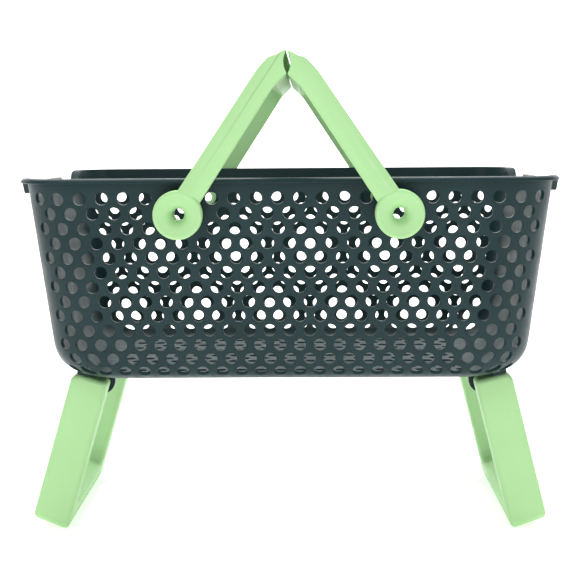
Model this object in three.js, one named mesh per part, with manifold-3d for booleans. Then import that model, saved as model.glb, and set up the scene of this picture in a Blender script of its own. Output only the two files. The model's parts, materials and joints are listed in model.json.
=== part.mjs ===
// A shopping basket: a tapered tub with a flanged rim, two carrying handles that swing on hollow hubs
// in its long walls, and two U-shaped legs that fold up under its floor on pins in moulded lugs.
// Millimetres, +Z up, +X along the basket. The origin is on the ground under the middle of the basket.
import * as THREE from "three";
import { mergeVertices } from "three/addons/utils/BufferGeometryUtils.js";
import Module from "manifold-3d";

const wasm = await Module();
wasm.setup();

// Heights above the ground
const FLOOR_UNDERSIDE = 158;
const RIM_TOP = 355;

// Tub: the outline is that of the walls' outer faces at the rim
const TUB_HALF_LENGTH = 252;
const TUB_HALF_DEPTH = 176;
const TUB_CORNER = 42;
const WALL = 3.2;
const DRAFT = 0.113; // how far the walls lean in for each millimetre of height
const SIDE_EDGE_RADIUS = 28; // from the floor up into a long side
const END_EDGE_RADIUS = 40; // and up into an end
const FLANGE_REACH = 6;
const FLANGE_HEIGHT = 4.6;
const FLANGE_CHAMFER = 1;
const END_DIP = 11; // the rim of each end lies this far below the rim of the long sides
const REST_HEIGHT = 6.7; // the raised rest in the middle of each end rim
const DIP_STATIONS = [1, 0.97, 0.94, 0.91]; // shares of an end's straight half, from the corner inwards
const REST_STATIONS = [0.25, 0.2];

// Handles
const HANDLE_PIVOT_X = 102.5;
const HANDLE_PIVOT_Z = 321.6;
const HANDLE_LEAN = THREE.MathUtils.degToRad(33.9); // the lean that the ends are cut for
const HANDLE_LEANS = { left: 33.7, right: 34.2 }; // how far each handle really leans
const HANDLE_TIP_Z = 471;
const ARM_INNER_Y = 183.1;
const ARM_THICKNESS = 13;
const ARM_OUTER_SIDE = 12; // from the arm's centre line to the side away from the other handle
const ARM_INNER_SIDE = 11.2; // to the other side, at the pivot
// Points of the arm's outline, out from its centre line and up from the pivot
const ARM_FLARE = [9.3, 146]; // where the side towards the other handle starts to flare
const SHOULDER = [
  [-11.6, 150], [-10.9, 156], [-10.2, 160.5], [-8.9, 166],
  [-6.6, 169.4], [-4.3, 171.6], [-2.4, 175.8], [-0.7, 178.9],
];
const GRIP_START = SHOULDER[0][1]; // distance of the grip's underside from the pivot
const FACING_HEIGHT = 21;
const FACING_HOLLOW = 3;
const FACING_GAP = 0.45;
const BOSS_RADIUS = 22.8;
const HUB_RADIUS = 9;
const HUB_LIP_RADIUS = 10.8;
const HUB_LIP = 2.7;
const HUB_BORE_RADIUS = 5.7;
const HUB_FUNNEL_RADIUS = 10.2;
const HUB_FUNNEL_DEPTH = 6;
const PAD_RADIUS = 20; // the solid pads on the tub that carry the hubs
const PAD_OUTER_Y = 182.8;
const PAD_INNER_Y = 166.5;
const RUNNING_GAP = 0.3;

// Legs, in a frame with its origin at the pivot: out from the basket's middle, and down the leg
const LEG_PIVOT_X = 193.5;
const LEG_PIVOT_Z = 147;
const LEG_SPLAYS = { left: THREE.MathUtils.degToRad(16.4), right: THREE.MathUtils.degToRad(14.2) };
const LEG_HALF_DEPTH = 113.7;
const LEG_INNER_FACE = -9.7;
const LEG_WIDTH = 37.2;
const LEG_ABOVE_PIVOT = 6;
const LEG_LENGTHS = { left: 151.335, right: 150.028 }; // each long enough to stand on the floor at its splay
const FOOT_SLANT = 0.022; // how much shorter the outer side of a leg is than the inner side, as a share
const POST_THICKNESS = 30;
const POST_INSIDE_Y = LEG_HALF_DEPTH - POST_THICKNESS;
const CROSS_BAR = 20;
const FOOT_LENGTH = 42;
const FOOT_STEP = 1.5;
const LEG_ROUNDING = 2.5;
const LEG_INNER_RADIUS = 12;
const LEG_OUTER_RADIUS = 5;

// Hinge lugs, stops and pins
const LUG_RADIUS = 14;
const LUG_THICKNESS = 8.2;
const LUG_GAP = 0.5;
const LUG_ROOT_Z = 160.2;
const STOP_START = 9; // where the stop block starts and ends, out from the pivot
const STOP_END = 22;
const STOP_ROOT_Z = [160.5, 164.3];
const STOP_SIDE_GAP = 1; // how much narrower the block is than the post, on each side
const PIN_RADIUS = 4;
const PIN_DEPTH = 13;
const PIN_HEAD_RADIUS = 6.5;
const PIN_HEAD = 2.2;

const CUT_OVERLAP = 1; // how far a cutter reaches past the face it opens
const ROUND_STEPS = 32;
const CORNER_STEPS = 6;
const SIDES = [-1, 1]; // front and rear, as signs of Y
const ENDS = [-1, 1]; // left and right, as signs of X

const slate = new THREE.MeshStandardMaterial({ color: 0x263837, roughness: 0.45, metalness: 0 });
const mint = new THREE.MeshStandardMaterial({ color: 0xaee28c, roughness: 0.5, metalness: 0 });

// ---- Solids

function solidOf(geometry) {
  const bare = new THREE.BufferGeometry();
  bare.setAttribute("position", geometry.getAttribute("position"));
  if (geometry.index) bare.setIndex(geometry.index);
  const merged = mergeVertices(bare, 1e-4);
  return new wasm.Manifold(
    new wasm.Mesh({
      numProp: 3,
      vertProperties: new Float32Array(merged.attributes.position.array),
      triVerts: new Uint32Array(merged.index.array),
    }),
  );
}

function meshOf(name, solid, material) {
  const data = solid.getMesh();
  const geometry = new THREE.BufferGeometry();
  geometry.setAttribute("position", new THREE.BufferAttribute(data.vertProperties, 3));
  geometry.setIndex(new THREE.BufferAttribute(data.triVerts, 1));
  geometry.computeVertexNormals();
  const mesh = new THREE.Mesh(geometry, material);
  mesh.name = name;
  return mesh;
}

const joined = (solids) => solids.reduce((whole, next) => whole.add(next));
const cutBy = (solid, cutters) => cutters.reduce((rest, cutter) => rest.subtract(cutter), solid);

// A cylinder or cone along Y, from one depth to another, whichever of them is further back.
function rod(x, z, from, to, radius, endRadius = radius) {
  const [near, far] = from < to ? [radius, endRadius] : [endRadius, radius];
  const geometry = new THREE.CylinderGeometry(far, near, Math.abs(to - from), ROUND_STEPS);
  geometry.translate(x, (from + to) / 2, z);
  return solidOf(geometry);
}

// An outline drawn in X and Z, extruded along Y between two depths.
function slab(points, from, to) {
  const shape = new THREE.Shape(points.map(([x, z]) => new THREE.Vector2(x, z)));
  const geometry = new THREE.ExtrudeGeometry(shape, { depth: Math.abs(to - from), bevelEnabled: false });
  geometry.rotateX(Math.PI / 2);
  geometry.translate(0, Math.max(from, to), 0);
  return solidOf(geometry);
}

// ---- Tub

const wallInset = (z) => (RIM_TOP - z) * DRAFT;

// A ring of points round the tub: the rim's outline, drawn in by one inset on the ends and another on the
// long sides. Each point also says where it is along an end, from 1 at one corner to -1 at the other, and
// 2 on the corners and the long sides.
function outline(endInset, sideInset) {
  const straightX = TUB_HALF_LENGTH - endInset - TUB_CORNER;
  const straightY = TUB_HALF_DEPTH - sideInset - TUB_CORNER;
  const inwards = [...DIP_STATIONS.slice(1), ...REST_STATIONS];
  const endStations = [...inwards, ...inwards.map((share) => -share).reverse()];
  const points = [];
  for (const side of SIDES) {
    for (const share of endStations) {
      points.push({ x: -side * (straightX + TUB_CORNER), y: side * share * straightY, along: share });
    }
    for (const half of [0, 1]) {
      const centreX = (half ? side : -side) * straightX;
      const centreY = -side * straightY;
      for (let step = 0; step <= CORNER_STEPS; step++) {
        const turn = (side < 0 ? 0 : Math.PI) + ((half + step / CORNER_STEPS) * Math.PI) / 2;
        const x = centreX + TUB_CORNER * Math.cos(turn);
        const y = centreY + TUB_CORNER * Math.sin(turn);
        points.push({ x, y, along: 2 });
      }
    }
  }
  return points;
}

function smooth(value, from, to) {
  const share = THREE.MathUtils.clamp((value - from) / (to - from), 0, 1);
  return share * share * (3 - 2 * share);
}

const dipAt = (along) => END_DIP * (1 - smooth(Math.abs(along), DIP_STATIONS.at(-1), 1));

const restAt = (along) => REST_HEIGHT * (1 - smooth(Math.abs(along), REST_STATIONS[1], REST_STATIONS[0]));

// How far in from the rim's outline the outer face of a wall is, where it has turned by an angle from
// the flat floor towards the leaning wall, and the height of that place.
function floorEdge(radius, turn, thickness) {
  const centreZ = FLOOR_UNDERSIDE + radius;
  const centreInset = wallInset(centreZ) + radius * Math.hypot(1, DRAFT);
  const arc = radius - thickness;
  return { inset: centreInset - arc * Math.sin(turn), z: centreZ - arc * Math.cos(turn) };
}

// The inset of a wall at a height, with its lower edge rounded by a radius.
function insetAt(radius, z, thickness) {
  const centreZ = FLOOR_UNDERSIDE + radius;
  const arc = radius - thickness;
  const lastTurn = Math.PI / 2 - Math.atan(DRAFT);
  const turn = Math.acos(THREE.MathUtils.clamp((centreZ - z) / arc, -1, 1));
  if (turn >= lastTurn) return wallInset(z) + thickness * Math.hypot(1, DRAFT);
  return floorEdge(radius, turn, thickness).inset;
}

// The rings of one skin's lower edge, from the floor up to the top of the larger of the two roundings.
function edgeRings(thickness) {
  const lastTurn = Math.PI / 2 - Math.atan(DRAFT);
  const rings = [];
  for (let step = 0; step <= CORNER_STEPS; step++) {
    const { z } = floorEdge(END_EDGE_RADIUS, (step / CORNER_STEPS) * lastTurn, thickness);
    rings.push({ end: insetAt(END_EDGE_RADIUS, z, thickness), side: insetAt(SIDE_EDGE_RADIUS, z, thickness), z });
  }
  return rings;
}

// The tub's section from the underside of the floor, over the rim, to the inside of the floor.
function tubSection() {
  const underFlange = RIM_TOP - FLANGE_HEIGHT;
  const even = (inset) => ({ end: inset, side: inset });
  return [
    ...edgeRings(0),
    { ...even(wallInset(underFlange)), z: underFlange, dips: true },
    { ...even(-FLANGE_REACH), z: underFlange, dips: true },
    { ...even(-FLANGE_REACH), z: RIM_TOP - FLANGE_CHAMFER, dips: true, rises: true },
    { ...even(FLANGE_CHAMFER - FLANGE_REACH), z: RIM_TOP, dips: true, rises: true },
    { ...even(WALL), z: RIM_TOP, dips: true, rises: true },
    ...edgeRings(WALL).reverse(),
  ];
}

function tubShell() {
  const positions = [];
  const triangles = [];
  const section = tubSection();
  for (const ring of section) {
    for (const { x, y, along } of outline(ring.end, ring.side)) {
      const dip = ring.dips ? dipAt(along) : 0;
      const rise = ring.rises ? restAt(along) : 0;
      positions.push(x, y, ring.z - dip + rise);
    }
  }
  const count = positions.length / 3 / section.length;
  const bottomCentre = positions.length / 3;
  const insideCentre = bottomCentre + 1;
  positions.push(0, 0, FLOOR_UNDERSIDE, 0, 0, FLOOR_UNDERSIDE + WALL);
  const lastRing = (section.length - 1) * count;
  for (let point = 0; point < count; point++) {
    const next = (point + 1) % count;
    triangles.push(bottomCentre, next, point);
    triangles.push(insideCentre, lastRing + point, lastRing + next);
    for (let ring = 0; ring < lastRing; ring += count) {
      triangles.push(ring + point, ring + next, ring + count + next);
      triangles.push(ring + point, ring + count + next, ring + count + point);
    }
  }
  const geometry = new THREE.BufferGeometry();
  geometry.setAttribute("position", new THREE.BufferAttribute(new Float32Array(positions), 3));
  geometry.setIndex(triangles);
  return solidOf(geometry);
}

// A point of the leg at one end, in the basket's frame, from its place out from and down from the pivot.
function legPoint(end, out, down, lift = 0) {
  const splay = end < 0 ? LEG_SPLAYS.left : LEG_SPLAYS.right;
  const x = LEG_PIVOT_X + out * Math.cos(splay) + down * Math.sin(splay);
  const z = LEG_PIVOT_Z + out * Math.sin(splay) - down * Math.cos(splay);
  return [end * x, z + lift];
}

// A hinge lug under the floor, with a round end about the pin.
function lug(end, side) {
  const outerY = side * (POST_INSIDE_Y - LUG_GAP);
  const innerY = side * (POST_INSIDE_Y - LUG_GAP - LUG_THICKNESS);
  const pivotX = end * LEG_PIVOT_X;
  const web = [
    [pivotX - LUG_RADIUS, LEG_PIVOT_Z],
    [pivotX + LUG_RADIUS, LEG_PIVOT_Z],
    [pivotX + LUG_RADIUS, LUG_ROOT_Z],
    [pivotX - LUG_RADIUS, LUG_ROOT_Z],
  ];
  return rod(pivotX, LEG_PIVOT_Z, outerY, innerY, LUG_RADIUS).add(slab(web, outerY, innerY));
}

// The block under the floor that the top of an unfolded leg bears on.
function stopBlock(end, side) {
  const inner = legPoint(end, STOP_START, -LEG_ABOVE_PIVOT, RUNNING_GAP);
  const outer = legPoint(end, STOP_END, -LEG_ABOVE_PIVOT, RUNNING_GAP);
  const corners = [inner, outer, [outer[0], STOP_ROOT_Z[1]], [inner[0], STOP_ROOT_Z[0]]];
  return slab(corners, side * (LEG_HALF_DEPTH - STOP_SIDE_GAP), side * (POST_INSIDE_Y + STOP_SIDE_GAP));
}

function makeTub() {
  const solids = [tubShell()];
  const holes = [];
  for (const end of ENDS) {
    const hubX = end * HANDLE_PIVOT_X;
    const pinX = end * LEG_PIVOT_X;
    for (const side of SIDES) {
      const padOuter = side * PAD_OUTER_Y;
      const padInner = side * PAD_INNER_Y;
      const past = side * CUT_OVERLAP;
      solids.push(rod(hubX, HANDLE_PIVOT_Z, padOuter, padInner, PAD_RADIUS), lug(end, side), stopBlock(end, side));
      holes.push(
        rod(hubX, HANDLE_PIVOT_Z, padOuter + past, padInner - past, HUB_RADIUS + RUNNING_GAP),
        rod(pinX, LEG_PIVOT_Z, side * LEG_HALF_DEPTH, 0, PIN_RADIUS + RUNNING_GAP),
      );
    }
  }
  return meshOf("tub", cutBy(joined(solids), holes), slate);
}

// ---- Handles: made upright, with the pivot on the origin and the other handle on the +X side

const upright = (x, z) => [
  x * Math.cos(HANDLE_LEAN) - z * Math.sin(HANDLE_LEAN),
  x * Math.sin(HANDLE_LEAN) + z * Math.cos(HANDLE_LEAN),
];

// The end of an arm: the shoulder, the tip, and the hollowed side that faces the other handle.
function armEnd() {
  const reach = HANDLE_PIVOT_X - FACING_GAP;
  const tipZ = HANDLE_TIP_Z - HANDLE_PIVOT_Z;
  const points = [...SHOULDER];
  for (const share of [0, 0.25, 0.5, 0.75, 1]) {
    const hollow = 4 * share * (1 - share) * FACING_HOLLOW;
    points.push(upright(reach - hollow, tipZ - share * FACING_HEIGHT));
  }
  return points;
}

function handleSolid() {
  const end = armEnd();
  const outerY = ARM_INNER_Y + ARM_THICKNESS;
  const armOutline = [[ARM_INNER_SIDE, 0], [-ARM_OUTER_SIDE, 0], ...end, ARM_FLARE].reverse();
  const gripOutline = [[ARM_FLARE[0], GRIP_START], ...end].reverse();
  const solids = [slab(gripOutline, -ARM_INNER_Y - CUT_OVERLAP, ARM_INNER_Y + CUT_OVERLAP)];
  const bores = [];
  for (const side of SIDES) {
    const armOuter = side * outerY;
    const armInner = side * ARM_INNER_Y;
    const hubEnd = side * (PAD_INNER_Y - RUNNING_GAP - HUB_LIP);
    const lipStart = side * (PAD_INNER_Y - RUNNING_GAP);
    const funnelEnd = side * (outerY - HUB_FUNNEL_DEPTH);
    const past = side * CUT_OVERLAP;
    solids.push(
      slab(armOutline, armOuter, armInner),
      rod(0, 0, armOuter, armInner, BOSS_RADIUS),
      rod(0, 0, armInner + past, hubEnd, HUB_RADIUS),
      rod(0, 0, lipStart, hubEnd, HUB_LIP_RADIUS),
    );
    bores.push(
      rod(0, 0, armOuter + past, armInner / 2, HUB_BORE_RADIUS),
      rod(0, 0, armOuter, funnelEnd, HUB_FUNNEL_RADIUS, HUB_BORE_RADIUS),
    );
  }
  return cutBy(joined(solids), bores);
}

// The left handle leans to the right and the right handle is the same piece turned round.
function makeHandles() {
  return ["left", "right"].map((side) => {
    const turned = new THREE.Group();
    const placed = meshOf(`handle_${side}`, handleSolid(), mint);
    placed.position.set(-HANDLE_PIVOT_X, 0, HANDLE_PIVOT_Z);
    placed.rotation.y = THREE.MathUtils.degToRad(HANDLE_LEANS[side]);
    turned.rotation.z = side === "right" ? Math.PI : 0;
    turned.add(placed);
    return turned;
  });
}

// ---- Legs

// The U of two posts and a cross bar, with a foot pad under each post, drawn in depth and height.
function legOutline(length) {
  const half = LEG_HALF_DEPTH;
  const gap = half - POST_THICKNESS;
  const pad = half - FOOT_LENGTH;
  const barTop = CROSS_BAR + FOOT_STEP - length;
  const barBottom = FOOT_STEP - length;
  const shape = new THREE.Shape();
  shape.moveTo(-half, LEG_ABOVE_PIVOT);
  shape.lineTo(-half, LEG_OUTER_RADIUS - length);
  shape.quadraticCurveTo(-half, -length, LEG_OUTER_RADIUS - half, -length);
  shape.lineTo(-pad, -length);
  shape.lineTo(FOOT_STEP - pad, barBottom);
  shape.lineTo(pad - FOOT_STEP, barBottom);
  shape.lineTo(pad, -length);
  shape.lineTo(half - LEG_OUTER_RADIUS, -length);
  shape.quadraticCurveTo(half, -length, half, LEG_OUTER_RADIUS - length);
  shape.lineTo(half, LEG_ABOVE_PIVOT);
  shape.lineTo(gap, LEG_ABOVE_PIVOT);
  shape.lineTo(gap, barTop + LEG_INNER_RADIUS);
  shape.quadraticCurveTo(gap, barTop, gap - LEG_INNER_RADIUS, barTop);
  shape.lineTo(LEG_INNER_RADIUS - gap, barTop);
  shape.quadraticCurveTo(-gap, barTop, -gap, barTop + LEG_INNER_RADIUS);
  shape.lineTo(-gap, LEG_ABOVE_PIVOT);
  shape.closePath();
  return shape;
}

function legSolid(length) {
  const geometry = new THREE.ExtrudeGeometry(legOutline(length), {
    depth: LEG_WIDTH - 2 * LEG_ROUNDING,
    curveSegments: 5,
    bevelThickness: LEG_ROUNDING,
    bevelSize: LEG_ROUNDING,
    bevelOffset: -LEG_ROUNDING,
    bevelSegments: 2,
  });
  const depthAxis = new THREE.Vector3(0, 1, 0);
  const heightAxis = new THREE.Vector3(0, 0, 1);
  const outAxis = new THREE.Vector3(1, 0, 0);
  geometry.applyMatrix4(new THREE.Matrix4().makeBasis(depthAxis, heightAxis, outAxis));
  geometry.translate(LEG_INNER_FACE + LEG_ROUNDING, 0, 0);
  const place = geometry.attributes.position;
  for (let i = 0; i < place.count; i++) {
    const share = (place.getX(i) - LEG_INNER_FACE) / LEG_WIDTH;
    if (place.getZ(i) < 0) place.setZ(i, place.getZ(i) * (1 - FOOT_SLANT * share));
  }
  const pinHoles = SIDES.map((side) => {
    const holeStart = side * (POST_INSIDE_Y - CUT_OVERLAP);
    return rod(0, 0, holeStart, side * (POST_INSIDE_Y + PIN_DEPTH + CUT_OVERLAP), PIN_RADIUS + RUNNING_GAP);
  });
  return cutBy(solidOf(geometry), pinHoles);
}

function makeLegs() {
  return ["left", "right"].map((side) => {
    const turned = new THREE.Group();
    const placed = meshOf(`leg_${side}`, legSolid(LEG_LENGTHS[side]), mint);
    placed.position.set(LEG_PIVOT_X, 0, LEG_PIVOT_Z);
    placed.rotation.y = -LEG_SPLAYS[side];
    turned.rotation.z = side === "left" ? Math.PI : 0;
    turned.add(placed);
    return turned;
  });
}

// A headed pin for each hinge, pushed through the lug into the post from the inside.
function makePins() {
  const pins = [];
  const headOuter = POST_INSIDE_Y - LUG_GAP - LUG_THICKNESS - RUNNING_GAP;
  for (const end of ENDS) {
    for (const side of SIDES) {
      const shank = rod(0, 0, side * (POST_INSIDE_Y + PIN_DEPTH), side * (headOuter - PIN_HEAD), PIN_RADIUS);
      const head = rod(0, 0, side * headOuter, side * (headOuter - PIN_HEAD), PIN_HEAD_RADIUS);
      const name = `leg_pin_${end < 0 ? "left" : "right"}_${side < 0 ? "front" : "rear"}`;
      const pin = meshOf(name, shank.add(head), slate);
      pin.position.set(end * LEG_PIVOT_X, 0, LEG_PIVOT_Z);
      pins.push(pin);
    }
  }
  return pins;
}

const basket = new THREE.Group();
basket.add(makeTub(), ...makeHandles(), ...makeLegs(), ...makePins());

export default basket;
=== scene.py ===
"""A plastic carrying basket: a perforated tub, two swinging handles and two folding legs.

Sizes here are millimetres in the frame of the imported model, and meshes are scaled to metres when made.
"""

import json
import math

import bmesh
import bpy
import numpy as np
from mathutils import Matrix, Vector


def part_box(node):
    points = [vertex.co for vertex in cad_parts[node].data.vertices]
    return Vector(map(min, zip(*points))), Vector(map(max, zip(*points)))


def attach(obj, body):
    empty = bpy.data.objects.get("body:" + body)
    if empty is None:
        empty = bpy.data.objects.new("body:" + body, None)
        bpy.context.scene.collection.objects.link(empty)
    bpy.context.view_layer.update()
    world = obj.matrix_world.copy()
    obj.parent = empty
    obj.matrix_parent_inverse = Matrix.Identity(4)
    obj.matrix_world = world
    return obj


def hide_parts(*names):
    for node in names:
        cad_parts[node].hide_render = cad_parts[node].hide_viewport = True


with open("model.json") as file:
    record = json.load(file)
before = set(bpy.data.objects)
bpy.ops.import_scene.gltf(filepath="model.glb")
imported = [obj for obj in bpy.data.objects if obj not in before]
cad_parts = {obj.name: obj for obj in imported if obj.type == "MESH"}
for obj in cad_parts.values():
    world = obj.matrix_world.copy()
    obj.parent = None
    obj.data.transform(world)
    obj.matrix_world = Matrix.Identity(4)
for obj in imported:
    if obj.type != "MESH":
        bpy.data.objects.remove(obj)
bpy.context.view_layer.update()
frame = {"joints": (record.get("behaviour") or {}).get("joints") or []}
joints = {joint["name"]: joint for joint in frame["joints"]}

MM = 0.001

# ---- Tub
_, TUB_TOP = (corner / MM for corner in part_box("tub"))
RIM_TOP = TUB_TOP.z
FLANGE_REACH = 6.0
HALF_LENGTH = TUB_TOP.x - FLANGE_REACH  # the walls' outer faces at the rim
HALF_DEPTH = 176.0
FLOOR_UNDERSIDE = 158.0
CORNER = 42.0
WALL = 3.2
DRAFT = 0.113  # how far the walls lean in for each millimetre of height
SLOPE = math.hypot(1, DRAFT)  # millimetres along a wall for each millimetre of height
SIDE_EDGE_RADIUS = 28.0
END_EDGE_RADIUS = 40.0
LAST_TURN = math.pi / 2 - math.atan(DRAFT)
FLANGE_HEIGHT = 4.6
END_DIP = 11.0  # how far the rim drops along an end
DIP_END = 0.91  # the dip ends and the rest starts and stops at these shares of an end's straight half
REST_HEIGHT = 6.7
REST_FROM, REST_TO = 0.25, 0.19

# ---- Holes in the walls: rows down the wall, and places counted round it in pitches
PITCHES = 78
QUARTER = PITCHES / 4
SIDE_PITCHES = 10.06  # from the middle of a long side to its corner
HOLE_ROWS = 13
FIRST_ROW = 19.2
ROW_SPACING = 14.18
HOLE_RADIUS = 5.95
HOLE_ROUNDING = 0.55
CELL_STEPS = 6
CELL_SIDE_STEPS = 3
CELL_WIDTH = 20.0
COLUMNS = PITCHES * CELL_STEPS
LAST_HOLE_PITCH = 11.75  # the holes run round the corners but not along the ends

# ---- Holes in the floor
FLOOR_COLUMNS = 18
FLOOR_ROWS = 13
FLOOR_PITCH = 20.0
FLOOR_ROW_SPACING = 17.32

# ---- Pivot pads on the long walls
PIVOT_PITCH = 5
PAD_RADIUS = 20.0
PAD_OUTER_Y = 182.8
PAD_INNER_Y = 166.5
PAD_ROUNDING = 0.7
PAD_FILLET = 0.8
PAD_FOOT = 2.4  # how far outside the wall's face at the pivot a pad's side starts, past its fillet
HUB_HOLE_RADIUS = 9.3

# ---- Handles
HANDLE_PIVOT_X = abs(joints["handle_left_swing"]["pos_m"][0]) / MM
HANDLE_PIVOT_Z = joints["handle_left_swing"]["pos_m"][2] / MM
CUT_LEAN = math.radians(33.9)
HANDLE_LEANS = {"left": math.radians(33.7), "right": math.radians(34.2)}
HANDLE_TIP_Z = 471.0
ARM_OUTER_Y = 196.1
ARM_INNER_Y = 183.1
ARM_OUTER_SIDE = 12.0
ARM_INNER_SIDE = 11.2
# an arm's crowned face: places out from its centre line, and how far each lies behind the boss's face
ARM_CROWN = [(-16, 2.6), (-7, 0.5), (-2, 0.1), (3, 0.6), (8, 2.2), (16, 5.6)]
GRIP_START = 150.0
GRIP_FILLET = 16.0
# places on an arm's outline: out from its centre line, and up from the pivot
ARM_FLARE = (9.3, 146)
SHOULDER = [(-11.6, 150), (-10.9, 156), (-10.2, 160.5), (-8.9, 166), (-6.6, 169.4), (-4.3, 171.6)]
SHOULDER += [(-2.4, 175.8), (-0.7, 178.9)]
FACING_GAP = 0.45
FACING_HEIGHT = 21.0
FACING_HOLLOW = 3.0
FACING_STEPS = 4
CUT_BELOW, CUT_ABOVE = 60.0, 120.0  # how far the shapes that an arm is cut by reach past its pivot
CROWN_TOP = 300.0
BOSS_RADIUS = 22.8
HUB_RADIUS = 9.0
HUB_LIP_RADIUS = 10.8
HUB_LIP = 2.7
HUB_BORE_RADIUS = 5.7
RUNNING_GAP = 0.3
HANDLE_ROUNDING = 1.0
BOSS_ROUNDING = 2.4
# the dish and funnel in a boss's face: radius, and depth behind the face
DISH = [(19.6, 0), (18, 0.5), (16, 0.9), (14, 1.2), (12, 1.7)]
FUNNEL = [(10.2, 2.7), (8.6, 4.2), (7.2, 6.2), (6.2, 8.4)]
FUNNEL_DEPTH = 11.0
BORE_PAST_PAD = 8.0

# ---- Legs
LEG_PIVOT_X = abs(joints["leg_left_fold"]["pos_m"][0]) / MM
LEG_PIVOT_Z = joints["leg_left_fold"]["pos_m"][2] / MM
LEG_SPLAYS = {"left": math.radians(16.4), "right": math.radians(14.2)}
LEG_HALF_DEPTH = 113.7
LEG_INNER_FACE = -9.7
LEG_WIDTH = 37.2
LEG_ABOVE_PIVOT = 6.0
LEG_LENGTHS = {"left": 151.335, "right": 150.028}
FOOT_SLANT = 0.022  # how much shorter a leg is at its outer face than at its inner one
POST_THICKNESS = 30.0
CROSS_BAR = 20.0
FOOT_LENGTH = 42.0
FOOT_STEP = 1.5
LEG_INNER_RADIUS = 12.0
LEG_OUTER_RADIUS = 6.0
LEG_ROUNDING = 5.0
LEG_SHOULDER_RADIUS = 9.0
POST_INSIDE_Y = LEG_HALF_DEPTH - POST_THICKNESS
LUG_RADIUS = 14.0
LUG_THICKNESS = 8.2
LUG_GAP = 0.5
LUG_ROOT_Z = 160.2
STOP_START, STOP_END = 9.0, 22.0
STOP_ROOT_Z = (160.5, 164.3)  # where the stop meets the tub, at its inner and outer ends
PIN_RADIUS = 4.0
PIN_DEPTH = 13.0
PIN_HEAD_RADIUS = 6.5
PIN_HEAD = 2.2
LUG_FLARE = 3.0  # how much wider a lug is at its root, which starts this far under the floor
LUG_ROUNDING = 0.7
STOP_ROUNDING = 0.6

SIDES = (-1, 1)  # front and rear, as signs of Y
ENDS = (-1, 1)  # left and right, as signs of X


# ---- Meshes
def make_object(name, points, faces, materials):
    """A mesh object from points in millimetres, with its faces turned outwards."""
    mesh = bpy.data.meshes.new(name)
    mesh.from_pydata([Vector(point) * MM for point in points], [], faces)
    build = bmesh.new()
    build.from_mesh(mesh)
    bmesh.ops.recalc_face_normals(build, faces=build.faces)
    build.to_mesh(mesh)
    build.free()
    made = bpy.data.objects.new(name, mesh)
    bpy.context.scene.collection.objects.link(made)
    for material in materials:
        mesh.materials.append(material)
    return made


def shade(made, sharp_degrees=38):
    """Smooth shading that keeps large flat faces flat and leaves real edges sharp."""
    mesh = made.data
    mesh.polygons.foreach_set("use_smooth", [True] * len(mesh.polygons))
    mesh.set_sharp_from_angle(angle=math.radians(sharp_degrees))
    weighted = made.modifiers.new("weighted", "WEIGHTED_NORMAL")
    weighted.keep_sharp = True
    bake_modifiers(made)


def bake_modifiers(made):
    """Replaces an object's mesh by what its modifiers make of it."""
    depsgraph = bpy.context.evaluated_depsgraph_get()
    result = bpy.data.meshes.new_from_object(made.evaluated_get(depsgraph), depsgraph=depsgraph)
    made.modifiers.clear()
    made.data = result


def combine(base, other, operation):
    """Joins or cuts base by other, which is then removed."""
    modifier = base.modifiers.new("combine", "BOOLEAN")
    modifier.operation = operation
    modifier.solver = "EXACT"
    modifier.object = other
    bake_modifiers(base)
    bpy.data.objects.remove(other)


def merge_flat(made, degrees=0.4):
    """Merges coplanar triangles, so that a bevel finds only real edges."""
    build = bmesh.new()
    build.from_mesh(made.data)
    bmesh.ops.remove_doubles(build, verts=build.verts, dist=1e-6)
    bmesh.ops.dissolve_limit(
        build, angle_limit=math.radians(degrees), verts=build.verts, edges=build.edges
    )
    build.to_mesh(made.data)
    build.free()


def round_edges(made, width, segments, degrees=26, limited=True):
    """Rounds every edge sharper than an angle, by less than the width if limited and some edge is short."""
    bevel = made.modifiers.new("bevel", "BEVEL")
    bevel.width = width * MM
    bevel.segments = segments
    bevel.limit_method = "ANGLE"
    bevel.angle_limit = math.radians(degrees)
    bevel.use_clamp_overlap = limited
    bake_modifiers(made)


def extruded(name, outline, axes, start, end, materials):
    """A prism: an outline in two of the axes (as letters), extruded along the third between two places."""
    across = ({"x", "y", "z"} - set(axes)).pop()
    order = [(*axes, across).index(letter) for letter in "xyz"]
    points = []
    for place in (start, end):
        points += [[(*corner, place)[i] for i in order] for corner in outline]
    count = len(outline)
    faces = [tuple(range(count)), tuple(range(count, 2 * count))]
    for i in range(count):
        after = (i + 1) % count
        faces.append((i, after, count + after, count + i))
    return make_object(name, points, faces, materials)


def turned(name, profile, centre_x, centre_z, materials, steps=64):
    """A solid of revolution about an axis along Y, from a closed profile of (radius, y) points."""
    points, faces = [], []
    count = len(profile)
    for step in range(steps):
        angle = 2 * math.pi * step / steps
        for radius, y in profile:
            points.append((centre_x + radius * math.cos(angle), y, centre_z + radius * math.sin(angle)))
    for step in range(steps):
        here, there = step * count, (step + 1) % steps * count
        for i in range(count):
            after = (i + 1) % count
            faces.append((here + i, here + after, there + after, there + i))
    made = make_object(name, points, faces, materials)
    if any(radius < 1e-9 for radius, _ in profile):
        merge_flat(made, 0)
    return made


def arc(centre, radius, start, end, steps):
    """Points on an arc between two angles in degrees."""
    turns = [math.radians(start + (end - start) * i / steps) for i in range(steps + 1)]
    return [(centre[0] + radius * math.cos(a), centre[1] + radius * math.sin(a)) for a in turns]


# ---- Materials
def node(tree, kind, **values):
    """A shader node with its settings and input values."""
    made = tree.nodes.new(kind)
    for key, value in values.items():
        if hasattr(made, key):
            setattr(made, key, value)
        else:
            made.inputs[key.replace("_", " ")].default_value = value
    return made


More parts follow.
